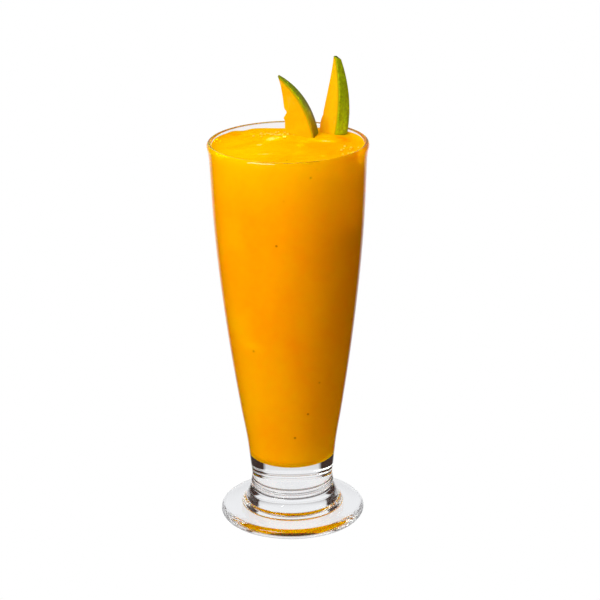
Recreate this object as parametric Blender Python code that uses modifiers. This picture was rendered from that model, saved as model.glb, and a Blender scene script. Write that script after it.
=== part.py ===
"""A tall footed glass filled with thick mango juice, with two mango wedges standing in it.

Metres, +Z up. The origin is the middle of the foot, on the surface that the glass stands on, and
-Y faces the viewer. Each piece is one closed solid: the glass, the juice up to its level, and each
of the two wedges, which the juice is cut round.
"""

import math

import bmesh
import bpy
import numpy as np
from mathutils import Vector

MM = 0.001
TURN_STEPS = 56  # facets round every turned piece
GAP = 0.3 * MM  # clear space between two pieces that touch

# Glass: heights above the table and radii from its upright axis.
GLASS_HEIGHT = 199.0 * MM
RIM_RADIUS = 40.0 * MM  # where the lip is widest
LIP_HEIGHT = 3.8 * MM  # of the rounded lip, whose widest place is half of it below the top
FLARE = 0.8 * MM  # how far the outer side goes out towards the lip, by the cube of the height
FLARE_FROM = 187.0 * MM
FLARE_TALL = 10.0 * MM
BOWL_STATIONS = (  # (height, outer radius) where the bowl's side changes its slope
    (22.6 * MM, 20.75 * MM),
    (30.0 * MM, 21.6 * MM),
    (40.0 * MM, 22.7 * MM),
    (60.0 * MM, 26.0 * MM),
    (105.0 * MM, 32.4 * MM),
    (150.0 * MM, 36.95 * MM),
    (199.0 * MM, 39.3 * MM),
)
WALL_AT_RIM = 1.8 * MM
WALL_AT_FLOOR = 3.4 * MM
FLOOR_HEIGHT = 32.1 * MM
FLOOR_CORNER = 5.0 * MM  # radius of the rounded corner between floor and wall
RINGS = (  # (height of its middle, outer radius, half its height) of each ring bead under the bowl
    (19.95 * MM, 20.95 * MM, 1.15 * MM),
    (17.6 * MM, 21.3 * MM, 1.2 * MM),
)
RING_GROOVE = 0.4 * MM  # how far the grooves beside the ring beads go in
RING_SHOULDER = 0.12 * MM  # how far a ring bead has gone in halfway from its crown to a groove
PEDESTAL_STATIONS = (  # (height, outer radius) of the pedestal, from its bottom bead to the rings
    (9.1 * MM, 24.1 * MM),
    (10.5 * MM, 23.7 * MM),
    (13.2 * MM, 22.4 * MM),
    (15.9 * MM, 21.1 * MM),
)
FOOT_CREASE = (6.3 * MM, 25.9 * MM)  # height and radius where the bottom bead meets the foot's top
FOOT_SHOULDERS = ((1.3 * MM, 0.25 * MM), (4.3 * MM, 0.6 * MM))  # outwards and down from the crease
FOOT_RADIUS = 37.0 * MM
FOOT_THICKNESS = 5.4 * MM  # at the edge, which is fully rounded
REST_RING = (29.5 * MM, 34.3 * MM)  # inner and outer radius of the flat ring that it stands on
DISH_DEPTH = 1.0 * MM  # how far the underside inside that ring goes up
DISH_SHARES = (0.75, 0.4, 0.0)  # of the rest ring's inner radius, where the dish has a vertex

# Juice: its level at the wall, and the relief of its surface as soft lumps and ridges.
LEVEL_AT_WALL = 195.5 * MM
TOP_RINGS = 14  # rings of facets across the surface
EDGE_FADE = 7.0 * MM  # the relief dies away over this width at the wall
LUMPS = (  # (x, y, height, half length, half width, turn in degrees) of each soft lump
    (3.0 * MM, 13.0 * MM, 3.1 * MM, 27.0 * MM, 16.0 * MM, -3.0),
    (22.0 * MM, 10.0 * MM, 1.5 * MM, 7.0 * MM, 5.0 * MM, 20.0),
    (-21.0 * MM, 11.0 * MM, 1.0 * MM, 11.0 * MM, 7.5 * MM, 12.0),
    (-29.5 * MM, 20.0 * MM, 1.5 * MM, 4.0 * MM, 3.0 * MM, 40.0),
    (-20.0 * MM, 2.0 * MM, -0.9 * MM, 15.0 * MM, 3.5 * MM, 14.0),
    (-8.0 * MM, 10.0 * MM, 0.7 * MM, 6.0 * MM, 3.5 * MM, -12.0),
    (5.0 * MM, -4.0 * MM, 1.1 * MM, 6.0 * MM, 5.0 * MM, 30.0),
    (12.0 * MM, 1.5 * MM, -0.8 * MM, 6.0 * MM, 3.0 * MM, 35.0),
    (-8.0 * MM, -14.0 * MM, 0.8 * MM, 11.0 * MM, 4.0 * MM, -6.0),
    (20.0 * MM, -11.0 * MM, 0.8 * MM, 9.0 * MM, 4.5 * MM, 28.0),
)

LEVEL_TOLERANCE = 0.01 * MM  # vertices down to this below the level belong to the surface

# The block that a wedge is cut with: its steps, and how far it goes past the fruit.
PRISM_CUTS = 19
PAST_SKIN = 4.0 * MM
PAST_TIP = 3.0 * MM

# Wedges: each is an upright slice of a mango, cut by two sides that close towards a blunt inner edge.
# The place is the middle of that edge, the turns are about X, Y and Z, and the skin is on its +X.
WEDGES = {
    "mango_wedge_left": {
        "place": (0.1 * MM, 16.5 * MM, 193.7 * MM),
        "turns": (3.1, -4.7, -10.9),
        "half_length": 40.9 * MM,  # of the whole fruit, along the wedge
        "half_girth": 35.2 * MM,
        "edge_offset": 20.0 * MM,  # from the fruit's axis to the blunt inner edge
        "edge_width": 3.6 * MM,
        "tip_hook": 1.3 * MM,
        "angle": 29.2,
    },
    "mango_wedge_right": {
        "place": (16.6 * MM, 25.5 * MM, 197.0 * MM),
        "turns": (-0.2, 12.0, -40.6),
        "half_length": 48.4 * MM,
        "half_girth": 33.8 * MM,
        "edge_offset": 20.3 * MM,
        "edge_width": 3.0 * MM,
        "tip_hook": 0.2 * MM,
        "angle": 27.2,
    },
}

COLOURS = {  # (base colour, roughness, transmission)
    "clear_glass": ((0.96, 0.98, 0.98), 0.03, 0.9),
    "mango_juice": ((0.98, 0.42, 0.005), 0.35, 0.0),
    "mango_flesh": ((1.0, 0.47, 0.01), 0.45, 0.0),
}


def clear_scene():
    for obj in list(bpy.data.objects):
        bpy.data.objects.remove(obj)


def new_collection(name):
    collection = bpy.data.collections.new(name)
    bpy.context.scene.collection.children.link(collection)
    return collection


def material(name):
    colour, roughness, transmission = COLOURS[name]
    made = bpy.data.materials.get(name) or bpy.data.materials.new(name)
    made.use_nodes = True
    shader = made.node_tree.nodes["Principled BSDF"]
    shader.inputs["Base Color"].default_value = (*colour, 1.0)
    shader.inputs["Roughness"].default_value = roughness
    shader.inputs["Metallic"].default_value = 0.0
    shader.inputs["Transmission Weight"].default_value = transmission
    return made


def curve_through(stations, heights):
    """Radii at these heights on a smooth curve through the stations, as cubic pieces whose slopes at
    each station are the mean of its neighbours' slopes."""
    known = np.array(stations)
    slopes = np.gradient(known[:, 1], known[:, 0])
    index = np.clip(np.searchsorted(known[:, 0], heights) - 1, 0, len(known) - 2)
    low = known[index]
    high = known[index + 1]
    span = high[:, 0] - low[:, 0]
    t = (heights - low[:, 0]) / span
    return (
        low[:, 1] * (2 * t**3 - 3 * t**2 + 1)
        + high[:, 1] * (3 * t**2 - 2 * t**3)
        + slopes[index] * span * (t**3 - 2 * t**2 + t)
        + slopes[index + 1] * span * (t**3 - t**2)
    )


def outer_radius(heights):
    """The bowl's side, with the flare under the lip."""
    heights = np.asarray(heights, float)
    risen = np.clip((heights - FLARE_FROM) / FLARE_TALL, 0, None)
    return curve_through(BOWL_STATIONS, heights) + FLARE * risen**3


def inner_radius(heights):
    """The side without its flare, less the wall, which thins from floor to rim as a square law."""
    heights = np.asarray(heights, float)
    left = np.clip((GLASS_HEIGHT - heights) / (GLASS_HEIGHT - FLOOR_HEIGHT), 0, 1)
    wall = WALL_AT_RIM + (WALL_AT_FLOOR - WALL_AT_RIM) * left**2
    return curve_through(BOWL_STATIONS, heights) - wall


def arc(radius, height, across, tall, start, end, steps):
    """Points of an ellipse's arc round (radius, height), from one angle to another in degrees."""
    angles = np.radians(np.linspace(start, end, steps + 1))
    return [(radius + across * math.cos(a), height + tall * math.sin(a)) for a in angles]


def cavity_outline(shrink, steps):
    """The bowl's inside from its top down to the axis, drawn in by shrink: (radius, height) points."""
    corner = FLOOR_CORNER - shrink
    floor = FLOOR_HEIGHT + shrink
    corner_top = floor + corner
    wall_radius = float(inner_radius([corner_top])[0]) - shrink
    heights = np.linspace(LEVEL_AT_WALL, corner_top, steps, endpoint=False)
    side = list(zip(inner_radius(heights) - shrink, heights))
    side += arc(wall_radius - corner, corner_top, corner, corner, 0, -90, 4)
    return side + [(0.0, floor)]


def lip_outline():
    """The rounded lip, from the inner wall over the top to its widest place."""
    half = LIP_HEIGHT / 2
    middle = GLASS_HEIGHT - half
    wide = RIM_RADIUS - float(inner_radius([middle])[0])
    return arc(RIM_RADIUS - wide / 2, middle, wide / 2, half, 180, 0, 6)


def stem_outline():
    """The two ring beads under the bowl, with a groove above, between and below them."""
    points = []
    for height, radius, half in RINGS:
        points += [
            (radius - RING_GROOVE, height + half),
            (radius - RING_SHOULDER, height + half / 2),
            (radius, height),
            (radius - RING_SHOULDER, height - half / 2),
        ]
    lowest, radius, half = RINGS[-1]
    return points + [(radius - RING_GROOVE, lowest - half)]


def pedestal_outline():
    """The pedestal flares down to a round bead, a quarter of an ellipse that ends on the foot."""
    heights = np.linspace(PEDESTAL_STATIONS[-1][0], PEDESTAL_STATIONS[0][0], 6)
    side = list(zip(curve_through(PEDESTAL_STATIONS, heights), heights))
    top, inside = PEDESTAL_STATIONS[0]
    bottom, outside = FOOT_CREASE
    return side[:-1] + arc(inside, bottom, outside - inside, top - bottom, 90, 0, 4)


def foot_outline():
    """The foot's top falling gently outwards, its round edge, the flat rest ring and the dish."""
    crease_height, crease_radius = FOOT_CREASE
    half = FOOT_THICKNESS / 2
    points = [(crease_radius + out, crease_height - down) for out, down in FOOT_SHOULDERS]
    points += arc(REST_RING[1], half, FOOT_RADIUS - REST_RING[1], half, 90, -90, 7)
    points.append((REST_RING[0], 0.0))
    for share in DISH_SHARES:
        points.append((REST_RING[0] * share, DISH_DEPTH * (1 - share**2)))
    return points


def turned(name, outline, collection, finish):
    """A closed body of revolution about +Z: the outline runs down the outer side at +X, and both of
    its ends are on the axis."""
    mesh = bpy.data.meshes.new(name)
    points = [(radius, 0.0, height) for radius, height in outline]
    mesh.from_pydata(points, [(i, i + 1) for i in range(len(points) - 1)], [])
    mesh.materials.append(material(finish))
    body = bpy.data.objects.new(name, mesh)
    collection.objects.link(body)
    screw = body.modifiers.new("turn", "SCREW")
    screw.axis = "Z"
    screw.steps = TURN_STEPS
    screw.render_steps = TURN_STEPS
    screw.use_merge_vertices = True
    screw.merge_threshold = 0.00001
    screw.use_smooth_shade = True
    return body


def as_mesh(body):
    """The body with its modifiers applied."""
    bpy.context.view_layer.update()
    evaluated = body.evaluated_get(bpy.context.evaluated_depsgraph_get())
    solid = bpy.data.meshes.new_from_object(evaluated)
    body.modifiers.clear()
    body.data = solid
    return body


def make_glass(collection):
    """The outline's pieces in order: inside, lip, flare, bowl, ring beads, pedestal and foot."""
    inside = cavity_outline(0.0, 8)[::-1]
    widest = GLASS_HEIGHT - LIP_HEIGHT / 2
    flare = np.linspace(widest, FLARE_FROM, 5)[1:-1]
    heights = np.concatenate((flare, np.linspace(FLARE_FROM, BOWL_STATIONS[0][0], 12)))
    outside = list(zip(outer_radius(heights), heights))
    outline = inside + lip_outline() + outside + stem_outline() + pedestal_outline() + foot_outline()
    return turned("glass", outline, collection, "clear_glass")


def surface_relief(x, y):
    """How far the juice's surface stands above its level at the wall: the sum of the lumps, each a
    bell over an ellipse, faded to nothing at the wall."""
    total = 0.0
    for at_x, at_y, height, length, width, turn in LUMPS:
        c = math.cos(math.radians(turn))
        s = math.sin(math.radians(turn))
        along = ((x - at_x) * c + (y - at_y) * s) / length
        across = ((y - at_y) * c - (x - at_x) * s) / width
        total += height * math.exp(-(along**2 + across**2))
    edge = float(inner_radius([LEVEL_AT_WALL])[0]) - GAP
    inwards = min(max((edge - math.hypot(x, y)) / EDGE_FADE, 0.0), 1.0)
    return total * inwards * (2 - inwards)


def make_juice(collection):
    """The juice fills the bowl to its level, and only the vertices of its top take the relief."""
    side = cavity_outline(GAP, 8)
    edge = side[0][0]
    top = [(edge * ring / TOP_RINGS, LEVEL_AT_WALL) for ring in range(TOP_RINGS)]
    juice = as_mesh(turned("mango_juice", top + side, collection, "mango_juice"))
    for vertex in juice.data.vertices:
        if vertex.co.z > LEVEL_AT_WALL - LEVEL_TOLERANCE:
            vertex.co.z += surface_relief(vertex.co.x, vertex.co.y)
    return juice


def slice_prism(spec, grow, collection):
    """The block that cuts the slice out of the fruit: a cube, cut into steps along its length, whose
    inner and outer ends are as wide as the slice there. The inner end goes back towards the fruit's
    axis near both tips, by the sixth power of the height. grow moves every face outwards."""
    slope = math.tan(math.radians(spec["angle"] / 2))
    reach = spec["half_girth"] - spec["edge_offset"] + PAST_SKIN
    spread = grow / math.cos(math.radians(spec["angle"] / 2))
    share = spec["edge_offset"] / spec["half_girth"]
    tip = spec["half_length"] * math.sqrt(1 - share**2)
    bm = bmesh.new()
    bmesh.ops.create_cube(bm, size=2.0)
    upright = [edge for edge in bm.edges if abs(edge.verts[0].co.z - edge.verts[1].co.z) > 1]
    bmesh.ops.subdivide_edges(bm, edges=upright, cuts=PRISM_CUTS, use_grid_fill=True)
    for vertex in bm.verts:
        height = vertex.co.z * (tip + PAST_TIP)
        hook = spec["tip_hook"] * (height / tip) ** 6
        x = reach if vertex.co.x > 0 else -grow - hook
        vertex.co = (x, vertex.co.y * (spec["edge_width"] / 2 + x * slope + spread), height)
    bmesh.ops.triangulate(bm, faces=bm.faces)
    mesh = bpy.data.meshes.new("slice_prism")
    bm.to_mesh(mesh)
    bm.free()
    prism = bpy.data.objects.new("slice_prism", mesh)
    collection.objects.link(prism)
    return prism


def make_wedge(name, spec, grow, collection, helpers):
    """The part of an egg-shaped fruit that lies inside the slice's block. grow swells it all round,
    which gives the hollow that it stands in."""
    bm = bmesh.new()
    bmesh.ops.create_uvsphere(bm, u_segments=72, v_segments=30, radius=1.0)
    girth = spec["half_girth"] + grow
    bmesh.ops.scale(bm, vec=Vector((girth, girth, spec["half_length"] + grow)), verts=bm.verts)
    bmesh.ops.translate(bm, vec=Vector((-spec["edge_offset"], 0, 0)), verts=bm.verts)
    mesh = bpy.data.meshes.new(name)
    bm.to_mesh(mesh)
    bm.free()
    mesh.materials.append(material("mango_flesh"))
    wedge = bpy.data.objects.new(name, mesh)
    collection.objects.link(wedge)
    prism = slice_prism(spec, grow, helpers)
    cut = wedge.modifiers.new("slice", "BOOLEAN")
    cut.operation = "INTERSECT"
    cut.object = prism
    as_mesh(wedge)
    bpy.data.objects.remove(prism)
    wedge.location = spec["place"]
    wedge.rotation_mode = "ZYX"
    wedge.rotation_euler = [math.radians(turn) for turn in spec["turns"]]
    return wedge


def main():
    clear_scene()
    parts = new_collection("mango_juice_glass")
    helpers = new_collection("cutters")
    make_glass(parts)
    juice = make_juice(parts)
    for name, spec in WEDGES.items():
        make_wedge(name, spec, 0.0, parts, helpers)
        hollow = make_wedge(name + "_hollow", spec, GAP, helpers, helpers)
        hollow.hide_render = True
        hollow.display_type = "WIRE"
        cut = juice.modifiers.new(name, "BOOLEAN")
        cut.operation = "DIFFERENCE"
        cut.object = hollow


main()
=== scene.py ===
"""Looks of a tall footed glass of thick mango juice with two mango wedges standing in it.

Metres, +Z up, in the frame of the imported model: the origin is the middle of the foot's underside and
-Y faces the viewer. Each solid is replaced by a finer surface worked out from the same sizes.
"""

import math

import bpy
import numpy as np
from mathutils import Euler, Matrix, Vector


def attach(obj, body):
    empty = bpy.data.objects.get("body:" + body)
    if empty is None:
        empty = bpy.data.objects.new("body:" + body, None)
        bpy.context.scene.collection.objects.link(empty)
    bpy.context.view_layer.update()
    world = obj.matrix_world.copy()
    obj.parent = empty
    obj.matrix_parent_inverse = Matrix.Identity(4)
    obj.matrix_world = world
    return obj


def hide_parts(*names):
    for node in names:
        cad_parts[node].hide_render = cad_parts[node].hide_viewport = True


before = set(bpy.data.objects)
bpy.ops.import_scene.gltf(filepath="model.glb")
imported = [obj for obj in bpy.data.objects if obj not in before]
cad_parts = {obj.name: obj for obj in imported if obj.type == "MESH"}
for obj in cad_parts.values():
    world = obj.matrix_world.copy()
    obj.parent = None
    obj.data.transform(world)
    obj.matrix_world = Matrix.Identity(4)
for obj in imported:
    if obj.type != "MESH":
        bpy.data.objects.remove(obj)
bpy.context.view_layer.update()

MM = 0.001

# Glass: the sizes of the solid model, with finer steps.
GLASS_HEIGHT = 199.0 * MM
RIM_RADIUS = 40.0 * MM
LIP_HEIGHT = 3.8 * MM
FLARE = 0.8 * MM
FLARE_FROM = 187.0 * MM
FLARE_TALL = 10.0 * MM
BOWL_STATIONS = (  # (height, outer radius)
    (22.6 * MM, 20.75 * MM),
    (30.0 * MM, 21.6 * MM),
    (40.0 * MM, 22.7 * MM),
    (60.0 * MM, 26.0 * MM),
    (105.0 * MM, 32.4 * MM),
    (150.0 * MM, 36.95 * MM),
    (199.0 * MM, 39.3 * MM),
)
WALL_AT_RIM = 1.8 * MM
WALL_AT_FLOOR = 3.4 * MM
FLOOR_HEIGHT = 32.1 * MM
FLOOR_CORNER = 5.0 * MM
RINGS = (  # (height of its middle, outer radius, half its height)
    (19.95 * MM, 20.95 * MM, 1.15 * MM),
    (17.6 * MM, 21.3 * MM, 1.2 * MM),
)
RING_GROOVE = 0.4 * MM
RING_ROUNDNESS = 1.74  # power of the fall from a ring's crown to its grooves
PEDESTAL_STATIONS = (
    (9.1 * MM, 24.1 * MM),
    (10.5 * MM, 23.7 * MM),
    (13.2 * MM, 22.4 * MM),
    (15.9 * MM, 21.1 * MM),
)
FOOT_CREASE = (6.3 * MM, 25.9 * MM)  # height and radius
FOOT_SHOULDERS = ((1.3 * MM, 0.25 * MM), (4.3 * MM, 0.6 * MM))  # outwards and down from the crease
FOOT_RADIUS = 37.0 * MM
FOOT_THICKNESS = 5.4 * MM
REST_RING = (29.5 * MM, 34.3 * MM)
DISH_DEPTH = 1.0 * MM
GLASS_SEGMENTS = 220
STEM_STEP = 0.26 * MM  # between the profile's points from the neck to the foot
CREASES = (  # (height, depth, half height) of finer creases under the ring beads
    (18.8 * MM, 0.2 * MM, 0.35 * MM),
    (16.25 * MM, 0.55 * MM, 0.45 * MM),
)

# Juice: it reaches just into the wall, so that no air shows between them.
LEVEL_AT_WALL = 195.5 * MM
INTO_WALL = 0.15 * MM
EDGE_FADE = 7.0 * MM
GAP = 0.3 * MM
LUMPS = (  # (x, y, height, half length, half width, turn in degrees), as in the solid
    (3.0 * MM, 13.0 * MM, 3.1 * MM, 27.0 * MM, 16.0 * MM, -3.0),
    (22.0 * MM, 10.0 * MM, 1.5 * MM, 7.0 * MM, 5.0 * MM, 20.0),
    (-21.0 * MM, 11.0 * MM, 1.0 * MM, 11.0 * MM, 7.5 * MM, 12.0),
    (-29.5 * MM, 20.0 * MM, 1.5 * MM, 4.0 * MM, 3.0 * MM, 40.0),
    (-20.0 * MM, 2.0 * MM, -0.9 * MM, 15.0 * MM, 3.5 * MM, 14.0),
    (-8.0 * MM, 10.0 * MM, 0.7 * MM, 6.0 * MM, 3.5 * MM, -12.0),
    (5.0 * MM, -4.0 * MM, 1.1 * MM, 6.0 * MM, 5.0 * MM, 30.0),
    (12.0 * MM, 1.5 * MM, -0.8 * MM, 6.0 * MM, 3.0 * MM, 35.0),
    (-8.0 * MM, -14.0 * MM, 0.8 * MM, 11.0 * MM, 4.0 * MM, -6.0),
    (20.0 * MM, -11.0 * MM, 0.8 * MM, 9.0 * MM, 4.5 * MM, 28.0),
)
RIDGES = (  # finer ones that only the looks need
    (-24.0 * MM, 19.0 * MM, -0.55 * MM, 12.0 * MM, 1.3 * MM, 21.0),
    (-8.3 * MM, -9.0 * MM, 0.35 * MM, 5.0 * MM, 1.1 * MM, -8.0),
    (18.5 * MM, 8.5 * MM, 0.5 * MM, 4.5 * MM, 1.0 * MM, -14.0),
    (26.5 * MM, 5.5 * MM, 0.6 * MM, 3.5 * MM, 2.4 * MM, 30.0),
    (16.0 * MM, -7.0 * MM, 0.3 * MM, 2.0 * MM, 0.9 * MM, 10.0),
    (30.5 * MM, -9.0 * MM, 0.5 * MM, 3.0 * MM, 1.6 * MM, 55.0),
    (4.9 * MM, -2.3 * MM, 0.3 * MM, 3.0 * MM, 1.2 * MM, 20.0),
    (-3.0 * MM, 6.5 * MM, 0.35 * MM, 5.0 * MM, 1.0 * MM, -16.0),
    (-11.5 * MM, 14.5 * MM, 0.4 * MM, 5.5 * MM, 1.0 * MM, -10.0),
    (-16.0 * MM, -14.0 * MM, -0.35 * MM, 12.0 * MM, 1.2 * MM, 12.0),
    (8.0 * MM, -17.0 * MM, 0.3 * MM, 9.0 * MM, 1.0 * MM, -12.0),
)
CLIMB = 1.45 * MM  # how far the juice climbs the wall, before the steps below change it
CLIMB_WIDTH = 2.6 * MM
CLIMB_STEPS = (  # (azimuth in degrees, change of the climb, half width in degrees) of its dips and peaks
    (92.0, -1.4 * MM, 20.0),
    (126.0, -0.5 * MM, 5.0),
    (138.0, 0.35 * MM, 5.0),
    (60.0, -0.4 * MM, 8.0),
    (-150.0, -0.3 * MM, 12.0),
    (-90.0, 1.2 * MM, 55.0),
    (163.0, 0.9 * MM, 25.0),
    (17.0, 0.9 * MM, 25.0),
)
CRISP = 0.05 * MM  # from the top's edge to the rings that keep it crisp
JUICE_SEGMENTS = 256
FROTH_AND_HIGHLIGHTS = (  # pale streaks, which are froth and painted highlights, and, below 0, orange ones: (x, y, strength, half length, half width, turn)
    (-11.7 * MM, 18.8 * MM, 1.3, 4.0 * MM, 1.1 * MM, 8.0),
    (-8.6 * MM, 19.8 * MM, 1.0, 2.2 * MM, 0.7 * MM, -6.0),
    (-6.2 * MM, 12.8 * MM, 1.3, 4.0 * MM, 1.1 * MM, -14.0),
    (-3.6 * MM, 14.2 * MM, 1.1, 2.0 * MM, 0.8 * MM, -30.0),
    (-7.4 * MM, 7.6 * MM, 1.2, 4.0 * MM, 1.4 * MM, 10.0),
    (-14.0 * MM, 3.4 * MM, 1.1, 1.4 * MM, 1.0 * MM, 0.0),
    (-10.2 * MM, 14.2 * MM, -0.5, 1.8 * MM, 1.6 * MM, 0.0),
    (3.1 * MM, 15.2 * MM, 1.1, 2.4 * MM, 1.0 * MM, 0.0),
    (6.8 * MM, 18.4 * MM, 0.5, 1.0 * MM, 0.8 * MM, 0.0),
    (18.6 * MM, 4.6 * MM, 1.1, 4.4 * MM, 0.9 * MM, -12.0),
    (26.8 * MM, 8.0 * MM, -1.0, 3.6 * MM, 3.4 * MM, 30.0),
    (31.0 * MM, -12.4 * MM, 1.1, 1.8 * MM, 0.9 * MM, 12.0),
    (28.0 * MM, -3.0 * MM, 0.35, 2.6 * MM, 1.4 * MM, 20.0),
    (16.8 * MM, -16.8 * MM, 1.0, 1.2 * MM, 0.7 * MM, 0.0),
    (16.1 * MM, -26.0 * MM, 0.45, 1.1 * MM, 0.7 * MM, 0.0),
    (-9.5 * MM, -12.7 * MM, 0.9, 5.2 * MM, 0.8 * MM, -4.0),
    (-19.3 * MM, -15.1 * MM, 0.12, 3.4 * MM, 1.8 * MM, 20.0),
    (5.8 * MM, -10.7 * MM, 0.3, 4.4 * MM, 2.6 * MM, 30.0),
    (-26.8 * MM, -5.5 * MM, 0.08, 5.0 * MM, 3.0 * MM, 0.0),
    (-20.4 * MM, 21.7 * MM, 0.3, 4.5 * MM, 1.2 * MM, 24.0),
    (-28.4 * MM, 21.0 * MM, -0.9, 4.2 * MM, 1.6 * MM, 30.0),
    (-20.0 * MM, 4.5 * MM, -0.3, 12.0 * MM, 1.6 * MM, 20.0),
    (-22.0 * MM, -6.0 * MM, 0.34, 15.0 * MM, 16.0 * MM, 0.0),
    (19.0 * MM, -8.0 * MM, -0.3, 15.0 * MM, 12.0 * MM, 0.0),
)
# The same on the juice's side, where the first two are the way round it to the viewer's right and the
# height.
SIDE_PATCHES = (
    (1.5 * MM, 103.0 * MM, -0.22, 7.0 * MM, 4.0 * MM, -28.0),
    (-21.0 * MM, 101.0 * MM, 0.7, 6.5 * MM, 2.4 * MM, -4.0),
    (-30.0 * MM, 110.0 * MM, 0.5, 8.0 * MM, 8.0 * MM, 0.0),
    (18.0 * MM, 108.0 * MM, -0.1, 8.0 * MM, 3.0 * MM, -12.0),
    (-24.0 * MM, 70.0 * MM, 0.45, 9.0 * MM, 26.0 * MM, 0.0),
)
BUBBLES = ((-4.0 * MM, 15.5 * MM, 13.0 * MM, 7.0 * MM, 26), (29.0 * MM, -8.0 * MM, 5.0 * MM, 9.0 * MM, 9))
BUBBLE_SIZES = (0.35 * MM, 0.85 * MM)

WEDGES = {
    "mango_wedge_left": {
        "place": (0.1 * MM, 16.5 * MM, 193.7 * MM),
        "turns": (3.1, -4.7, -10.9),
        "half_length": 40.9 * MM,
        "half_girth": 35.2 * MM,
        "edge_offset": 20.0 * MM,
        "edge_width": 3.6 * MM,
        "tip_hook": 1.3 * MM,
        "angle": 29.2,
    },
    "mango_wedge_right": {
        "place": (16.6 * MM, 25.5 * MM, 197.0 * MM),
        "turns": (-0.2, 12.0, -40.6),
        "half_length": 48.4 * MM,
        "half_girth": 33.8 * MM,
        "edge_offset": 20.3 * MM,
        "edge_width": 3.0 * MM,
        "tip_hook": 0.2 * MM,
        "angle": 27.2,
    },
}
WEDGE_RINGS = 240
EDGE_POINTS = 14  # across the inner edge of a wedge
SIDE_POINTS = 44  # along each cut side, and round the skin
NOTCHES = {  # (height along the wedge, depth, half height) of nicks in the inner edge
    "mango_wedge_left": (
        (16.4 * MM, 1.1 * MM, 1.4 * MM),
        (13.3 * MM, -0.6 * MM, 0.9 * MM),
        (6.5 * MM, -0.7 * MM, 5.5 * MM),
    ),
    "mango_wedge_right": ((9.0 * MM, 0.3 * MM, 0.9 * MM), (5.0 * MM, -0.5 * MM, 3.0 * MM)),
}
BLUNT_TIPS = {  # extra width at the tip, inwards and outwards
    "mango_wedge_left": (0.0, 0.0),
    "mango_wedge_right": (0.75 * MM, 2.1 * MM),
}
TIP_SKIN = 1.6 * MM  # the skin closes over the tip this far down
TIP_SLANT = 0.4  # how far the blunt tip's outer corner is below its inner one, over its width

LIGHT_BOUNCES = 32  # light runs round inside the foot's edge

# The photo's camera, fitted to the outline of the rim, the foot and the bowl.
CAMERA_PLACE = (0.0, -0.981, 0.467)
CAMERA_PITCH = 19.68  # degrees below level
CAMERA_YAW = 0.277
CAMERA_ROLL = -0.76
CAMERA_LENS = 124.1


def curve_through(stations, heights):
    """Radii at these heights: cubic pieces through the stations, whose slope at each station is the
    central difference of its neighbours."""
    known = np.array(stations)
    slopes = np.gradient(known[:, 1], known[:, 0])
    index = np.clip(np.searchsorted(known[:, 0], heights) - 1, 0, len(known) - 2)
    low = known[index]
    high = known[index + 1]
    span = high[:, 0] - low[:, 0]
    t = (heights - low[:, 0]) / span
    return (
        low[:, 1] * (2 * t**3 - 3 * t**2 + 1)
        + high[:, 1] * (3 * t**2 - 2 * t**3)
        + slopes[index] * span * (t**3 - 2 * t**2 + t)
        + slopes[index + 1] * span * (t**3 - t**2)
    )


def outer_radius(heights):
    """The bowl's side, with a flare under the lip that grows by the cube of the height."""
    heights = np.asarray(heights, float)
    risen = np.clip((heights - FLARE_FROM) / FLARE_TALL, 0, None)
    return curve_through(BOWL_STATIONS, heights) + FLARE * risen**3


def inner_radius(heights):
    """The side without its flare, less the wall, which thins from floor to rim as a square law."""
    heights = np.asarray(heights, float)
    left = np.clip((GLASS_HEIGHT - heights) / (GLASS_HEIGHT - FLOOR_HEIGHT), 0, 1)
    wall = WALL_AT_RIM + (WALL_AT_FLOOR - WALL_AT_RIM) * left**2
    return curve_through(BOWL_STATIONS, heights) - wall


def arc(radius, height, across, tall, start, end, steps):
    """Points of an ellipse's arc round (radius, height): across * cos, tall * sin of the angle."""
    angles = np.radians(np.linspace(start, end, steps + 1))
    return np.stack((radius + across * np.cos(angles), height + tall * np.sin(angles)), -1)


def evened(points, spacing):
    """The same line with its points an even distance apart, found by length along it."""
    run = np.concatenate(([0.0], np.cumsum(np.linalg.norm(np.diff(points, axis=0), axis=1))))
    at = np.linspace(0, run[-1], int(run[-1] / spacing) + 1)
    return np.stack([np.interp(at, run, points[:, i]) for i in range(points.shape[1])], -1)


def softened(points, passes):
    """Each inner point goes to the (1, 2, 1) / 4 mean with its neighbours, which rounds corners."""
    points = points.copy()
    for _ in range(passes):
        points[1:-1] = (points[:-2] + 2 * points[1:-1] + points[2:]) / 4
    return points


def cavity_side(shrink, steps):
    """The bowl's inside from the juice's level down to the floor's middle, drawn in by shrink: the
    wall, a quarter circle and the flat floor."""
    corner = FLOOR_CORNER - shrink
    floor = FLOOR_HEIGHT + shrink
    heights = np.linspace(LEVEL_AT_WALL, floor + corner, steps, endpoint=False)
    wall = np.stack((inner_radius(heights) - shrink, heights), -1)
    corner_radius = inner_radius([floor + corner])[0] - shrink - corner
    bend = arc(corner_radius, floor + corner, corner, corner, 0, -90, 14)
    bottom = np.stack((corner_radius * np.linspace(0.85, 0, 7), np.full(7, floor)), -1)
    return np.concatenate((wall, bend, bottom))


def lip_profile():
    """The rounded lip: half an ellipse from the inner wall over the top to its widest place, then the
    flare under it."""
    half = LIP_HEIGHT / 2
    middle = GLASS_HEIGHT - half
    wide = RIM_RADIUS - inner_radius([middle])[0]
    heights = np.linspace(LEVEL_AT_WALL, middle, 5)[1:-1]
    lead = np.stack((inner_radius(heights), heights), -1)
    lip = arc(RIM_RADIUS - wide / 2, middle, wide / 2, half, 180, 0, 28)
    heights = np.linspace(middle, FLARE_FROM, 26)[1:]
    flare = np.stack((outer_radius(heights), heights), -1)
    return np.concatenate((lead, softened(np.concatenate((lip, flare)), 2)))


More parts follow.
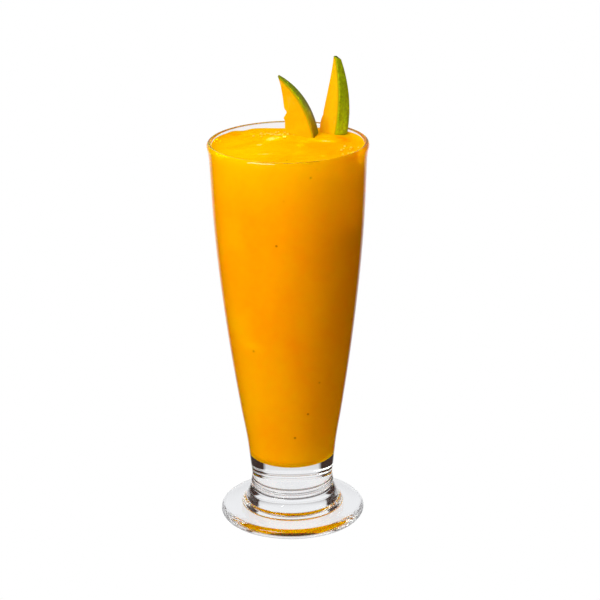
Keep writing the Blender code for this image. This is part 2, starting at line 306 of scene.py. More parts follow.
def stem_profile():
    """From the neck to the middle of the underside: two ring beads that fall from their crown by a
    power of the height, the pedestal, the quarter ellipse of its bottom bead, the foot's top, its
    round edge, rest ring and dish."""
    parts = [np.array([[BOWL_STATIONS[0][1], BOWL_STATIONS[0][0]]])]
    for middle, radius, half in RINGS:
        t = np.linspace(1, -1, 15)
        parts.append(np.stack((radius - RING_GROOVE * abs(t) ** RING_ROUNDNESS, middle + half * t), -1))
    top, bead_inside = PEDESTAL_STATIONS[0]
    crease, crease_radius = FOOT_CREASE
    heights = np.linspace(PEDESTAL_STATIONS[-1][0], top, 30)[:-1]
    parts.append(np.stack((curve_through(PEDESTAL_STATIONS, heights), heights), -1))
    parts.append(arc(bead_inside, crease, crease_radius - bead_inside, top - crease, 90, 0, 12))
    parts.append(np.array([(crease_radius + out, crease - down) for out, down in FOOT_SHOULDERS]))
    half = FOOT_THICKNESS / 2
    parts.append(arc(REST_RING[1], half, FOOT_RADIUS - REST_RING[1], half, 90, -90, 24))
    shares = np.array([1.0, 0.98, 0.8, 0.55, 0.3, 0.0])
    line = softened(evened(np.concatenate(parts), STEM_STEP), 3)
    for at, depth, half_height in CREASES:
        line[:, 0] -= depth * np.exp(-(((line[:, 1] - at) / half_height) ** 2))
    dish = np.stack((REST_RING[0] * shares, DISH_DEPTH * (1 - shares**2)), -1)
    return np.concatenate((line, dish))


def glass_profile():
    """The whole outline of the glass, from the floor of the bowl to the middle of the underside."""
    inside = cavity_side(0.0, 60)[::-1]
    heights = np.linspace(FLARE_FROM, BOWL_STATIONS[0][0], 70)[1:-1]
    outside = np.stack((outer_radius(heights), heights), -1)
    return np.concatenate((inside, lip_profile(), outside, stem_profile()))


def revolved(profile, segments):
    """A grid of rings about +Z: x = r cos a, y = r sin a, z = the profile's height."""
    turn = np.linspace(0, 2 * math.pi, segments, endpoint=False)
    radius = profile[:, :1]
    height = np.broadcast_to(profile[:, 1:], (len(profile), segments))
    return np.stack((radius * np.cos(turn), radius * np.sin(turn), height), -1)


def bell_sum(x, y, bells):
    """Sum of bells: height * exp(-(along² + across²)), with along and across measured in half lengths
    and half widths on axes turned by the bell's angle."""
    total = np.zeros_like(x)
    for at_x, at_y, height, length, width, turn in bells:
        c = math.cos(math.radians(turn))
        s = math.sin(math.radians(turn))
        along = ((x - at_x) * c + (y - at_y) * s) / length
        across = ((y - at_y) * c - (x - at_x) * s) / width
        total += height * np.exp(-(along**2 + across**2))
    return total


def swirls(x, y):
    """Slow folds of poured pulp: sines of the place, each pushed sideways by the one before it."""
    u = x / (9 * MM)
    v = y / (6 * MM)
    total = np.zeros_like(x)
    strength = 1.0
    for turn in (0.3, 1.4, 2.3, 3.5, 4.4):
        push = 0.9 * np.sin(1.3 * v + 2.1 * turn)
        total += strength * np.sin(math.cos(turn) * u + math.sin(turn) * v + push + 1.7 * turn)
        u, v = 1.5 * u + 0.6 * np.sin(v + turn), 1.5 * v + 0.6 * np.sin(u - turn)
        strength *= 0.6
    return total


def juice_relief(x, y):
    """Height above the level at the wall: lumps, ridges and swirls that fade towards the wall, and the
    juice's climb up the wall, which dies away by an exponential."""
    edge = inner_radius([LEVEL_AT_WALL])[0] - GAP
    out = np.hypot(x, y)
    inwards = np.clip((edge - out) / EDGE_FADE, 0, 1)
    fade = inwards * (2 - inwards)
    around = np.degrees(np.arctan2(y, x))
    climb = CLIMB
    for azimuth, change, half in CLIMB_STEPS:
        turned = (around - azimuth + 180) % 360 - 180
        climb = climb + change * np.exp(-((turned / half) ** 2))
    relief = (bell_sum(x, y, LUMPS) + bell_sum(x, y, RIDGES) + 0.1 * MM * swirls(x, y)) * fade
    wall = inner_radius([LEVEL_AT_WALL])[0]
    return relief + climb * np.exp(-np.maximum(wall - out, 0) / CLIMB_WIDTH)


def wedge_tip(spec):
    """Height along the wedge at which the egg shape of the fruit meets the hooked inner edge."""
    offset = spec["edge_offset"]
    tip = spec["half_length"] * math.sqrt(1 - (offset / spec["half_girth"]) ** 2)
    heights = np.linspace(0.8 * tip, 0.99 * spec["half_length"], 4000)
    skin = spec["half_girth"] * np.sqrt(1 - (heights / spec["half_length"]) ** 2)
    beyond = skin < offset - spec["tip_hook"] * (heights / tip) ** 6
    return tip, heights[np.argmax(beyond)]


def wedge_ring(name, spec, height):
    """Half of each cross-section's corners at these heights along the wedge: where the inner edge and
    the skin meet the cut side. The skin is the circle of the fruit's egg shape at that height."""
    slope = math.tan(math.radians(spec["angle"] / 2))
    half_edge = spec["edge_width"] / 2
    offset = spec["edge_offset"]
    tip, end = wedge_tip(spec)
    skin = spec["half_girth"] * np.sqrt(1 - (height / spec["half_length"]) ** 2)
    inwards, outwards = BLUNT_TIPS[name]
    skin = skin + outwards * np.clip(height / end, 0, 1) ** 8
    inner_x = -spec["tip_hook"] * (height / tip) ** 6 - inwards * np.clip(height / end, 0, 1) ** 8
    room = np.clip(1 - abs(height / end), 0, 1)
    for at, depth, half in NOTCHES[name]:
        inner_x = inner_x + depth * np.exp(-(((height - at) / half) ** 2)) * np.minimum(room * 6, 1)
    half_b = offset + half_edge * slope
    c = offset**2 + half_edge**2 - skin**2
    inside = np.maximum(half_b**2 - (1 + slope**2) * c, 0)
    outer_x = np.maximum((-half_b + np.sqrt(inside)) / (1 + slope**2), inner_x)
    on_skin = np.sqrt(np.maximum(skin**2 - (outer_x + offset) ** 2, 0))
    outer_y = np.minimum(half_edge + slope * outer_x, on_skin)
    inner_y = np.minimum(half_edge + slope * inner_x, outer_y)
    return inner_x, inner_y, outer_x, outer_y, skin


def wedge_grid(name, spec):
    """Closed cross-sections from tip to tip, each running over the inner edge, one cut side, the skin's
    arc and the other cut side. Corners are rounded by means with their neighbours, and a blunt tip
    slants down outwards."""
    end = wedge_tip(spec)[1]
    turn = np.linspace(-1, 1, WEDGE_RINGS)
    height = end * 0.9995 * np.sin(turn * math.pi / 2)
    inner_x, inner_y, outer_x, outer_y, skin = (part[:, None] for part in wedge_ring(name, spec, height))
    across = np.linspace(-1, 1, EDGE_POINTS, endpoint=False)
    along = np.linspace(0, 1, SIDE_POINTS, endpoint=False)
    edge_y = inner_y * across
    edge_x = np.broadcast_to(inner_x, edge_y.shape)
    side_x = inner_x + (outer_x - inner_x) * along
    side_y = inner_y + (outer_y - inner_y) * along
    reach = np.arctan2(outer_y, outer_x + spec["edge_offset"])
    angle = reach * (1 - 2 * along)
    skin_x = skin * np.cos(angle) - spec["edge_offset"]
    skin_y = skin * np.sin(angle)
    back_x = outer_x + (inner_x - outer_x) * along
    back_y = -(outer_y + (inner_y - outer_y) * along)
    x = np.concatenate((edge_x, side_x, skin_x, back_x), 1)
    y = np.concatenate((edge_y, side_y, skin_y, back_y), 1)
    for _ in range(3):
        x = (np.roll(x, 1, 1) + 2 * x + np.roll(x, -1, 1)) / 4
        y = (np.roll(y, 1, 1) + 2 * y + np.roll(y, -1, 1)) / 4
    slant = TIP_SLANT * np.clip(height / end, 0, 1) ** 12 * (BLUNT_TIPS[name][1] > 0)
    z = height[:, None] - slant[:, None] * (x - inner_x)
    return x, y, z, skin


def closed_surface(name, grid, finishes):
    """A closed mesh from a grid of rings. The first and the last ring are each one point, the columns
    join round, and the faces are turned outwards by the sign of the volume that they enclose."""
    rows, columns = grid.shape[:2]
    points = np.concatenate((grid[:1, 0], grid[1:-1].reshape(-1, 3), grid[-1:, 0]))
    start = 1 + np.arange(rows - 2)[:, None] * columns
    here = start + np.arange(columns)
    beside = start + (np.arange(columns) + 1) % columns
    quads = np.stack((here[:-1], beside[:-1], beside[1:], here[1:]), -1).reshape(-1, 4)
    first = np.stack((np.zeros(columns, int), beside[0], here[0]), -1)
    last = np.stack((np.full(columns, len(points) - 1), here[-1], beside[-1]), -1)
    corners = points[quads]
    diagonals = np.cross(corners[:, 2] - corners[:, 0], corners[:, 3] - corners[:, 1])
    volume = (corners.mean(1) * diagonals).sum()
    faces = quads.tolist() + first.tolist() + last.tolist()
    if volume < 0:
        faces = [face[::-1] for face in faces]
    mesh = bpy.data.meshes.new(name)
    mesh.from_pydata(points.tolist(), [], faces)
    mesh.shade_smooth()
    for finish in finishes:
        mesh.materials.append(finish)
    piece = bpy.data.objects.new(name, mesh)
    bpy.context.scene.collection.objects.link(piece)
    return piece


def keep_values(piece, name, values):
    """Stores one number for each vertex, given as a grid like the one the mesh was made from."""
    flat = np.concatenate((values[:1, 0], values[1:-1].reshape(-1), values[-1:, 0]))
    attribute = piece.data.attributes.new(name, "FLOAT", "POINT")
    attribute.data.foreach_set("value", flat.astype(np.float32))


def new_finish(name):
    """An empty material and its node tree."""
    made = bpy.data.materials.new(name)
    made.use_nodes = True
    made.node_tree.nodes.clear()
    return made, made.node_tree


def add(tree, kind, inputs=None, **settings):
    """A node with its settings, whose inputs take either a value or another node's output."""
    node = tree.nodes.new("ShaderNode" + kind)
    for key, value in settings.items():
        setattr(node, key, value)
    for key, value in (inputs or {}).items():
        if isinstance(value, bpy.types.NodeSocket):
            tree.links.new(value, node.inputs[key])
        else:
            node.inputs[key].default_value = value
    return node


def mixed(tree, factor, first, second):
    """The first colour where the factor is 0 and the second where it is 1."""
    node = add(tree, "Mix", {0: factor}, data_type="RGBA")
    for slot, value in ((6, first), (7, second)):
        if isinstance(value, bpy.types.NodeSocket):
            tree.links.new(value, node.inputs[slot])
        else:
            node.inputs[slot].default_value = (*value, 1.0)
    return node.outputs[2]


def noise(tree, vector, size, detail=3.0, roughness=0.5, distortion=0.0):
    """Noise whose features are about size metres across."""
    values = {
        "Vector": vector,
        "Scale": 1 / size,
        "Detail": detail,
        "Roughness": roughness,
        "Distortion": distortion,
    }
    return add(tree, "TexNoise", values).outputs["Fac"]


def spread(tree, value, low, high):
    """The value stretched so that low becomes 0 and high becomes 1, held between them."""
    values = {"Value": value, "From Min": low, "From Max": high}
    return add(tree, "MapRange", values).outputs["Result"]


def between(tree, factor, low, high):
    """Low where the factor is 0 and high where it is 1."""
    return add(tree, "MapRange", {"Value": factor, "To Min": low, "To Max": high}).outputs["Result"]


def product(tree, first, second):
    """The first value times the second."""
    return add(tree, "Math", {0: first, 1: second}, operation="MULTIPLY").outputs[0]


def larger(tree, first, second):
    """The larger of two values."""
    return add(tree, "Math", {0: first, 1: second}, operation="MAXIMUM").outputs[0]


def is_scattered(tree, rays):
    """1 for a ray that has left a diffuse surface."""
    values = {0: rays.outputs["Diffuse Depth"], 1: 0.5}
    return add(tree, "Math", values, operation="GREATER_THAN").outputs[0]


def close_finish(tree, shader):
    add(tree, "OutputMaterial", {"Surface": shader})


def clear_glass():
    """Pressed clear glass that lets lamps through."""
    made, tree = new_finish("clear_glass")
    body = add(
        tree,
        "BsdfPrincipled",
        {
            "Base Color": (1.0, 1.0, 1.0, 1.0),
            "Roughness": 0.0,
            "IOR": 1.5,
            "Transmission Weight": 1.0,
        },
    )
    shadow = add(tree, "LightPath").outputs["Is Shadow Ray"]
    through = add(tree, "BsdfTransparent")
    both = add(tree, "MixShader", {0: shadow, 1: body.outputs[0], 2: through.outputs[0]})
    close_finish(tree, both.outputs[0])
    return made


JUICE = (0.98, 0.42, 0.0006)
JUICE_PALE = (1.0, 0.50, 0.0006)
JUICE_DEEP = (0.97, 0.375, 0.0004)
# Painted light: the yellower orange where lamp light comes in through the juice's top, also used for weak
# painted highlights on the top.
JUICE_PAINTED_LIGHT = (1.0, 0.53, 0.0006)
# Painted highlight: the pale colour of froth and of highlights on the open surface.
JUICE_FROTH_HIGHLIGHT = (1.0, 0.68, 0.16)
JUICE_STREAK = (0.98, 0.25, 0.0004)
JUICE_SPECK = (0.40, 0.12, 0.0004)
SPECK_CELL = 11.0 * MM
SPECK_RADIUS = 0.75 * MM
PAINTED_LIGHT_FROM = (170.0 * MM, 202.0 * MM)  # painted light: up the side it turns yellower between these heights, for light that comes in through the juice's top
PAINTED_LIGHT_ACROSS = (36.0 * MM, 4.0 * MM)  # and less so towards the viewer's right, away from the key lamp
PAINTED_LIGHT_UP_TO = 0.45  # froth and painted highlights up to this strength are yellower, and beyond it paler


def juice_colour(tree, place):
    """Orange pulp: slow streaks of paler and deeper orange, with fine fibres over them, and a few small
    dark specks where the middle of a cell lies at the surface."""
    flat = add(tree, "Mapping", {"Vector": place, "Scale": (1.0, 1.0, 0.55)}).outputs[0]
    slow = spread(tree, noise(tree, flat, 22 * MM, 3.0, 0.5, 0.6), 0.35, 0.65)
    fine = spread(tree, noise(tree, place, 2.2 * MM, 4.0, 0.6), 0.3, 0.7)
    base = mixed(tree, slow, JUICE_DEEP, JUICE)
    pale = product(tree, fine, 0.2)
    cells = add(tree, "TexVoronoi", {"Vector": place, "Scale": 1 / SPECK_CELL}).outputs["Distance"]
    speck = spread(tree, cells, SPECK_RADIUS / SPECK_CELL, 0.5 * SPECK_RADIUS / SPECK_CELL)
    return mixed(tree, speck, mixed(tree, pale, base, JUICE_PALE), JUICE_SPECK)


def froth_and_highlight_colour(tree, place):
    """The juice's colour with the pale streaks of its open surface, which are froth and painted
    highlights, and its orange streaks, broken up a little by noise."""
    streak = add(tree, "Attribute", attribute_name="streaks_and_highlights").outputs["Fac"]
    broken = spread(tree, noise(tree, place, 1.3 * MM, 3.0, 0.6), 0.3, 0.6)
    patchy = between(tree, broken, 0.35, 1.0)
    pale = product(tree, streak, patchy)
    # Painted highlights: weak streaks turn yellower and strong ones paler.
    colour = mixed(tree, spread(tree, streak, 0.0, PAINTED_LIGHT_UP_TO), juice_colour(tree, place), JUICE_PAINTED_LIGHT)
    colour = mixed(tree, spread(tree, pale, PAINTED_LIGHT_UP_TO, 1.0), colour, JUICE_FROTH_HIGHLIGHT)
    return mixed(tree, spread(tree, streak, 0.0, -1.0), colour, JUICE_STREAK)


def juice_side():
    """The juice against the glass: no gloss of its own, with painted light that makes it yellower near
    its level and less so towards the viewer's right, and with soft patches.
    """
    made, tree = new_finish("mango_juice_side")
    place = add(tree, "TexCoord").outputs["Object"]
    across, _, height = add(tree, "SeparateXYZ", {0: place}).outputs
    # Painted light: yellower towards the level and towards the viewer's left, where the key lamp is, and
    # on the paler side patches.
    painted_light = product(tree, spread(tree, height, *PAINTED_LIGHT_FROM), spread(tree, across, *PAINTED_LIGHT_ACROSS))
    patch = add(tree, "Attribute", attribute_name="streaks_and_highlights").outputs["Fac"]
    painted_light = larger(tree, painted_light, spread(tree, patch, 0.0, 1.0))
    colour = mixed(tree, painted_light, juice_colour(tree, place), JUICE_PAINTED_LIGHT)
    body = add(
        tree,
        "BsdfPrincipled",
        {
            "Base Color": mixed(tree, spread(tree, patch, 0.0, -1.0), colour, JUICE_STREAK),
            "Roughness": 0.7,
            "Specular IOR Level": 0.0,
            "Subsurface Weight": 0.7,
            "Subsurface Radius": (1.0, 0.35, 0.05),
            "Subsurface Scale": 5 * MM,
        },
    )
    close_finish(tree, body.outputs[0])
    return made


def juice_top():
    """The open surface: wet, with a fine pulpy grain."""
    made, tree = new_finish("mango_juice_top")
    place = add(tree, "TexCoord").outputs["Object"]
    grain = noise(tree, place, 1.6 * MM, 4.0, 0.55)
    bump = add(tree, "Bump", {"Height": grain, "Strength": 0.45, "Distance": 0.4 * MM})
    body = add(
        tree,
        "BsdfPrincipled",
        {
            "Base Color": froth_and_highlight_colour(tree, place),
            "Roughness": 0.3,
            "Specular IOR Level": 0.0,
            "Subsurface Weight": 0.7,
            "Subsurface Radius": (1.0, 0.35, 0.05),
            "Subsurface Scale": 5 * MM,
            "Normal": bump.outputs[0],
        },
    )
    close_finish(tree, body.outputs[0])
    return made


FLESH = (1.0, 0.55, 0.0008)
FLESH_DEEP = (1.0, 0.48, 0.0006)
# Painted highlight on the flesh.
FLESH_SHEEN_PAINT = (1.0, 0.62, 0.08)
RIND_BAND = (0.40, 0.36, 0.0006)
RIND_GREEN = (0.45, 0.60, 0.0006)
RIND_DARK = (0.25, 0.32, 0.0006)
# Painted shade where the skin is seen edge on.
RIND_EDGE_SHADE = (0.08, 0.11, 0.003)
RIND_PALE = (0.52, 0.50, 0.01)
# Painted shade, tinted by the juice, on the skin near it.
RIND_SHADE_BROWN = (0.26, 0.13, 0.002)


def mango_wedge(shade_from, shade_to):
    """Cut mango: orange flesh with streaks of painted highlight, a pale green band under the rind and
    mottled green skin, told apart by the depth below the skin. The skin goes darker where it is seen edge
    on, which is painted shade, and brownish towards the juice between two heights, where it does at all,
    which is painted shade tinted by light from the juice."""
    made, tree = new_finish("mango_wedge")
    place = add(tree, "TexCoord").outputs["Object"]
    depth = add(tree, "Attribute", attribute_name="skin_depth").outputs["Fac"]
    mottle = spread(tree, noise(tree, place, 1.7 * MM, 5.0, 0.6), 0.36, 0.64)
    freckle = spread(tree, noise(tree, place, 0.8 * MM, 2.0), 0.6, 0.72)
    skin = mixed(tree, mottle, RIND_DARK, RIND_GREEN)
    skin = mixed(tree, freckle, skin, RIND_PALE)
    height = add(tree, "SeparateXYZ", {0: place}).outputs["Z"]
    # Painted shade: the skin turns brown towards the juice, below a wandering height, tinted by the
    # juice's light.
    wander = add(tree, "Math", {0: mottle, 1: 4 * MM, 2: height}, operation="MULTIPLY_ADD").outputs[0]
    skin = mixed(tree, spread(tree, wander, shade_from, shade_to), skin, RIND_SHADE_BROWN)
    # Painted shade: the skin darkens where it is seen edge on.
    edge_on_shade = add(tree, "LayerWeight", {"Blend": 0.5}).outputs["Facing"]
    skin = mixed(tree, spread(tree, edge_on_shade, 0.45, 0.85), skin, RIND_EDGE_SHADE)
    flesh_tone = spread(tree, noise(tree, place, 6 * MM, 4.0, 0.55, 0.4), 0.35, 0.65)
    flesh = mixed(tree, flesh_tone, FLESH_DEEP, FLESH)
    # Painted highlight: pale streaks along the flesh stand for its wet sheen.
    along = add(tree, "Mapping", {"Vector": place, "Scale": (1.0, 1.0, 0.25)}).outputs[0]
    painted_sheen = spread(tree, noise(tree, along, 2.6 * MM, 3.0, 0.55), 0.62, 0.78)
    flesh = mixed(tree, product(tree, painted_sheen, 0.6), flesh, FLESH_SHEEN_PAINT)
    band = mixed(tree, spread(tree, depth, 0.7, 2.4), RIND_BAND, flesh)
    colour = mixed(tree, spread(tree, depth, 0.15, 0.9), skin, band)
    grain = noise(tree, place, 1.1 * MM, 4.0)
    bump = add(tree, "Bump", {"Height": grain, "Strength": 0.4, "Distance": 0.2 * MM})
    body = add(
        tree,
        "BsdfPrincipled",
        {
            "Base Color": colour,
            "Roughness": 0.42,
            "Specular IOR Level": 0.1,
            "Subsurface Weight": 0.35,
            "Subsurface Radius": (1.0, 0.4, 0.05),
            "Subsurface Scale": 2 * MM,
            "Normal": bump.outputs[0],
        },
    )
    close_finish(tree, body.outputs[0])
    return made


def bubble_finish():
    """Pale wet froth."""
    made, tree = new_finish("froth_bubble")
    values = {"Base Color": (1.0, 0.56, 0.03, 1.0), "Roughness": 0.25, "Specular IOR Level": 0.3}
    body = add(tree, "BsdfPrincipled", values)
    close_finish(tree, body.outputs[0])
    return made


def make_glass():
    glass = closed_surface("glass_shell", revolved(glass_profile(), GLASS_SEGMENTS), [clear_glass()])
    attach(glass, "root")
    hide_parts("glass")


def make_juice():
    """Rings of the open surface from its middle outwards, closer together near the wall, then the side
    and the floor. Faces of the open surface take the wet finish."""
    edge = inner_radius([LEVEL_AT_WALL])[0] + INTO_WALL
    share = np.linspace(0, 1, 110)
    radii = edge * (1.15 * share - 0.15 * share**6)
    radii = np.concatenate((radii[:-1], [edge - CRISP, edge]))
    top = np.stack((radii, np.full(len(radii), LEVEL_AT_WALL)), -1)
    side = cavity_side(-INTO_WALL, 90)[1:]
    corner = [[edge, LEVEL_AT_WALL - CRISP]]
    grid = revolved(np.concatenate((top, corner, side)), JUICE_SEGMENTS)
    raised = len(top) + 1
    x, y = grid[:raised, :, 0], grid[:raised, :, 1]
    grid[:raised, :, 2] += juice_relief(x, y)
    streaks = np.zeros(grid.shape[:2])
    streaks[:raised] = np.clip(bell_sum(x, y, FROTH_AND_HIGHLIGHTS), -1, 1)
    x, y, z = np.moveaxis(grid[raised:], 2, 0)
    streaks[raised:] = bell_sum(np.arctan2(x, -y) * np.hypot(x, y), z, SIDE_PATCHES)
    juice = closed_surface("mango_juice_body", grid, [juice_top(), juice_side()])
    keep_values(juice, "streaks_and_highlights", streaks)
    lowest = np.array([face.vertices[0] for face in juice.data.polygons])
    on_side = (lowest >= 1 + (len(top) - 2) * JUICE_SEGMENTS).astype(np.int32)
    juice.data.polygons.foreach_set("material_index", on_side)
    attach(juice, "root")
    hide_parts("mango_juice")


def half_bubble(place, size):
    """Rings of a dome that stands on the juice: points at size * cos, size * sin of the elevation."""
    rise = np.radians([-30.0, 0.0, 30.0, 60.0, 90.0])[:, None]
    turn = np.linspace(0, 2 * math.pi, 12, endpoint=False)
    across = np.cos(rise)
    ring = np.stack((across * np.cos(turn), across * np.sin(turn), np.sin(rise) + 0 * turn), -1)
    return ring * size + np.array(place)


def make_bubbles():
    """Small froth bubbles, scattered by the golden angle over ellipses near the left wedge's foot and
    near the rim, all in one mesh."""
    points = []
    faces = []
    for at_x, at_y, wide, deep, count in BUBBLES:
        for i in range(count):
            angle = i * math.pi * (3 - math.sqrt(5))
            out = math.sqrt((i + 0.5) / count)
            x = at_x + wide * out * math.cos(angle) * (1 + 0.2 * math.sin(7.3 * i))
            y = at_y + deep * out * math.sin(angle) * (1 + 0.2 * math.sin(4.1 * i))
            low, high = BUBBLE_SIZES
            size = low + (high - low) * (0.5 + 0.5 * math.sin(12.9 * i)) ** 3
            height = LEVEL_AT_WALL + juice_relief(np.array([x]), np.array([y]))[0]
            rings = half_bubble((x, y, height), size)
            start = sum(len(part) for part in points)
            points.append(rings.reshape(-1, 3))
            for ring in range(rings.shape[0] - 1):
                for i_turn in range(rings.shape[1]):
                    here = start + ring * rings.shape[1] + i_turn
                    beside = start + ring * rings.shape[1] + (i_turn + 1) % rings.shape[1]
                    faces.append((here, beside, beside + rings.shape[1], here + rings.shape[1]))
    mesh = bpy.data.meshes.new("surface_bubbles")
    mesh.from_pydata(np.concatenate(points).tolist(), [], faces)
    mesh.shade_smooth()
    mesh.materials.append(bubble_finish())
    bubbles = bpy.data.objects.new("surface_bubbles", mesh)
    bpy.context.scene.collection.objects.link(bubbles)
    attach(bubbles, "root")


def make_wedge(name, spec, finish):
    x, y, z, skin = wedge_grid(name, spec)
    depth = (skin - np.hypot(x + spec["edge_offset"], y)) / MM
    depth = depth * np.clip((wedge_tip(spec)[1] - z) / TIP_SKIN, 0, 1)
    turn = Euler([math.radians(angle) for angle in spec["turns"]], "ZYX").to_matrix()
    grid = np.stack((x, y, z), -1) @ np.array(turn).T + np.array(spec["place"])
    grid[0] = grid[0].mean(0)
    grid[-1] = grid[-1].mean(0)
    wedge = closed_surface(name.replace("wedge", "slice"), grid, [finish])
    keep_values(wedge, "skin_depth", depth)
    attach(wedge, "root")
    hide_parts(name)


def make_wedges():
    make_wedge("mango_wedge_left", WEDGES["mango_wedge_left"], mango_wedge(222 * MM, 208 * MM))
    make_wedge("mango_wedge_right", WEDGES["mango_wedge_right"], mango_wedge(190 * MM, 180 * MM))


FLOOR_DROP = 0.2 * MM
FLOOR_REACH = 6.0
DISC = 62.0 * MM  # radius of the table's bright middle, under and round the foot
DISC_EDGE = 8.0 * MM
FILL_DISC = 95.0 * MM  # radius of the part that lights the juice from below
FAR = 300.0 * MM  # beyond this the table is dimmer on the viewer's side
DIMMING = (75.0 * MM, 130.0 * MM)  # the table darkens between these distances
BRIGHTENING = (300.0 * MM, 200.0 * MM)  # and comes back between these
DIMMED = 0.6


def openness(tree, x, y, band):
    """1 towards the open parts of the studio and 0 towards its dark bands, by the squared cosine of
    the azimuth from Y. With it comes the share left on the viewer's side."""
    y2 = product(tree, y, y)
    x2 = product(tree, x, x)
    flat = add(tree, "Math", {0: x2, 1: y2}, operation="ADD").outputs[0]
    cosine2 = add(tree, "Math", {0: y2, 1: flat}, operation="DIVIDE").outputs[0]
    ahead = spread(tree, cosine2, band[1] - BAND_BLUR, band[1] + BAND_BLUR)
    beside = spread(tree, cosine2, band[0] + BAND_BLUR, band[0] - BAND_BLUR)
    both = larger(tree, ahead, beside)
    length = add(tree, "Math", {0: flat, 1: 0.5}, operation="POWER").outputs[0]
    ratio = add(tree, "Math", {0: y, 1: length}, operation="DIVIDE").outputs[0]
    behind = spread(tree, ratio, -SIDE_BLEND, SIDE_BLEND)
    return both, between(tree, behind, FRONT_SHARE, 1.0)


def make_floor():
    """A white table for the camera. Rays that come out of the glass see its bright middle and the
    studio's bands beyond it, and the juice is lit by it from below."""
    made, tree = new_finish("pale_floor")
    way = add(tree, "SeparateXYZ", {0: add(tree, "TexCoord").outputs["Object"]})
    flat = add(tree, "CombineXYZ", {0: way.outputs[0], 1: way.outputs[1]}).outputs[0]
    out = add(tree, "VectorMath", {0: flat}, operation="LENGTH").outputs["Value"]
    near = spread(tree, out, DISC + DISC_EDGE, DISC - DISC_EDGE)
    open_way, side = openness(tree, way.outputs[0], way.outputs[1], FLOOR_BAND)
    faded = product(tree, spread(tree, out, *DIMMING), spread(tree, out, *BRIGHTENING))
    white = product(tree, larger(tree, open_way, near), between(tree, faded, 1.0, DIMMED))
    far = spread(tree, out, FAR - DISC_EDGE, FAR + DISC_EDGE)
    share = add(tree, "Mix", {0: far, 2: 1.0, 3: side}, data_type="FLOAT").outputs[0]
    tinted = mixed(tree, product(tree, white, share), STUDIO_DARK, STUDIO_WHITE)
    below = spread(tree, out, FILL_DISC + DISC_EDGE, FILL_DISC - DISC_EDGE)
    lit = mixed(tree, below, FILL_SIDE, FILL_BELOW)
    rays = add(tree, "LightPath")
    colour = mixed(tree, is_scattered(tree, rays), tinted, lit)
    colour = mixed(tree, rays.outputs["Is Camera Ray"], colour, (1.0, 1.0, 1.0))
    glow = add(tree, "Emission", {"Color": colour, "Strength": 1.0})
    close_finish(tree, glow.outputs[0])
    made.cycles.emission_sampling = "NONE"
    square = ((-1, -1), (1, -1), (1, 1), (-1, 1))
    corners = [(x * FLOOR_REACH, y * FLOOR_REACH, -FLOOR_DROP) for x, y in square]
    mesh = bpy.data.meshes.new("floor")
    mesh.from_pydata(corners, [], [(0, 1, 2, 3)])
    mesh.materials.append(made)
    floor = bpy.data.objects.new("floor", mesh)
    bpy.context.scene.collection.objects.link(floor)
    floor.visible_glossy = False


STUDIO_WHITE = (0.92, 0.93, 0.95)
STUDIO_DARK = (0.045, 0.025, 0.02)
FLOOR_BAND = (0.18, 0.84)  # the same on the table, from the glass's axis
BAND_BLUR = 0.03
BAND = (0.18, 0.67)  # squared cosines of the azimuths between which the studio is dark
FRONT_SHARE = 0.12
SIDE_BLEND = 0.45  # cosine of the azimuth from Y over which the share changes
MIRRORED_FROM = (0.79, 0.92)  # reflections show the studio only when they run this far along +Y
MIRRORED_UPWARDS = 0.3  # share of it that those which run upwards show
CEILING = (0.42, 0.62)  # sines of the elevations where the studio darkens upwards
FILL_BELOW = (1.3, 1.4, 1.2)
FILL_SIDE = (0.42, 0.32, 0.21)
FILL_ABOVE = (0.40, 0.39, 0.34)


def make_studio():
    """A white studio with dark side bands, which draw the glass's dark lines. It shows in reflections
    only where they graze the glass. The juice and the fruit get a soft fill instead."""
    world = bpy.data.worlds.new("studio")
    bpy.context.scene.world = world
    world.use_nodes = True
    world.cycles.sampling_method = "NONE"
    tree = world.node_tree
    tree.nodes.clear()
    way = add(tree, "SeparateXYZ", {0: add(tree, "TexCoord").outputs["Generated"]})
    x, y, z = (way.outputs[i] for i in range(3))
    lower = spread(tree, z, CEILING[1], CEILING[0])
    open_way, side = openness(tree, x, y, BAND)
    light = product(tree, product(tree, open_way, lower), side)
    seen = mixed(tree, light, STUDIO_DARK, STUDIO_WHITE)
    onward = spread(tree, y, *MIRRORED_FROM)
    level = between(tree, spread(tree, z, 0.05, -0.05), MIRRORED_UPWARDS, 1.0)
    graze = product(tree, onward, level)
    mirrored = mixed(tree, graze, (0.0, 0.0, 0.0), STUDIO_WHITE)
    rays = add(tree, "LightPath")
    shown = mixed(tree, rays.outputs["Is Transmission Ray"], mirrored, seen)
    fill = mixed(tree, spread(tree, z, 0.0, 1.0), FILL_SIDE, FILL_ABOVE)
    colour = mixed(tree, is_scattered(tree, rays), shown, fill)
    colour = mixed(tree, rays.outputs["Is Camera Ray"], colour, (1.0, 1.0, 1.0))
    background = add(tree, "Background", {"Color": colour, "Strength": 1.0})
    add(tree, "OutputWorld", {"Surface": background.outputs[0]})


LAMP_COLOURS = {"key": (0.96, 1.0, 0.93), "overhead": (1.0, 0.94, 0.86), "fill": (1.0, 0.9, 0.8)}
LAMPS = (  # (name, azimuth from the viewer to the left, elevation, distance, size, watts, aim, spread)
    ("key", 42.0, 38.0, 1.0, 0.6, 6.9, 0.15, 180.0),
    ("overhead", 50.0, 72.0, 0.9, 0.5, 2.7, 0.15, 180.0),
    ("fill", -50.0, 12.0, 1.2, 1.0, 0.9, 0.15, 180.0),
    ("level_glow", -66.0, 0.0, 1.0, 0.03, 0.010, 0.195, 3.0),
    ("back", 195.0, 5.0, 1.2, 0.8, 3.5, 0.15, 180.0),
)


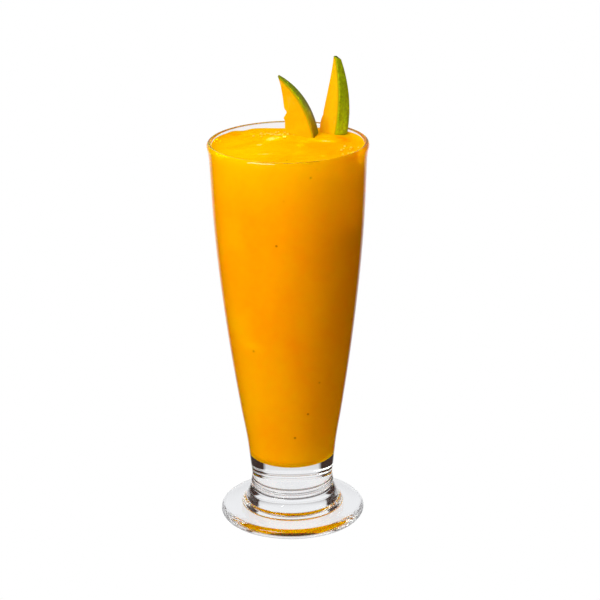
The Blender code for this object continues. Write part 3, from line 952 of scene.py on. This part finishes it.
def make_lamps():
    """Square lamps, each aimed at a height on the glass's axis from its azimuth and elevation."""
    for name, azimuth, elevation, distance, size, watts, aim, spread_angle in LAMPS:
        lamp = bpy.data.lights.new(name, "AREA")
        lamp.shape = "SQUARE"
        lamp.size = size
        lamp.energy = watts
        lamp.color = LAMP_COLOURS.get(name, (1.0, 1.0, 1.0))
        lamp.spread = math.radians(spread_angle)
        holder = bpy.data.objects.new(name, lamp)
        holder.visible_glossy = name == "key"
        holder.visible_transmission = name != "back"
        bpy.context.scene.collection.objects.link(holder)
        a = math.radians(azimuth)
        e = math.radians(elevation)
        towards = Vector((-math.sin(a) * math.cos(e), -math.cos(a) * math.cos(e), math.sin(e)))
        holder.location = Vector((0.0, 0.0, aim)) + towards * distance
        holder.rotation_euler = towards.to_track_quat("Z", "Y").to_euler()


def make_camera():
    """The camera's axes: level, then pitched down, turned a little to the right and rolled."""
    pitch, yaw, roll = (math.radians(angle) for angle in (CAMERA_PITCH, CAMERA_YAW, CAMERA_ROLL))
    level = Vector((0.0, math.cos(pitch), -math.sin(pitch)))
    above = Vector((0.0, math.sin(pitch), math.cos(pitch)))
    side = Vector((1.0, 0.0, 0.0))
    ahead = level * math.cos(yaw) + side * math.sin(yaw)
    side = side * math.cos(yaw) - level * math.sin(yaw)
    right = side * math.cos(roll) + above * math.sin(roll)
    up = above * math.cos(roll) - side * math.sin(roll)
    lens = bpy.data.cameras.new("camera")
    lens.lens = CAMERA_LENS
    lens.sensor_width = 36.0
    lens.clip_start = 0.05
    lens.clip_end = 20.0
    camera = bpy.data.objects.new("camera", lens)
    bpy.context.scene.collection.objects.link(camera)
    axes = Matrix((right, up, -ahead)).transposed()
    camera.matrix_world = Matrix.Translation(CAMERA_PLACE) @ axes.to_4x4()
    bpy.context.scene.camera = camera


make_camera()
make_studio()
make_lamps()
make_floor()
make_glass()
make_juice()
make_bubbles()
make_wedges()
bpy.context.scene.view_settings.view_transform = "Standard"
bpy.context.scene.cycles.max_bounces = LIGHT_BOUNCES
bpy.context.scene.cycles.glossy_bounces = LIGHT_BOUNCES
bpy.context.scene.cycles.transmission_bounces = LIGHT_BOUNCES
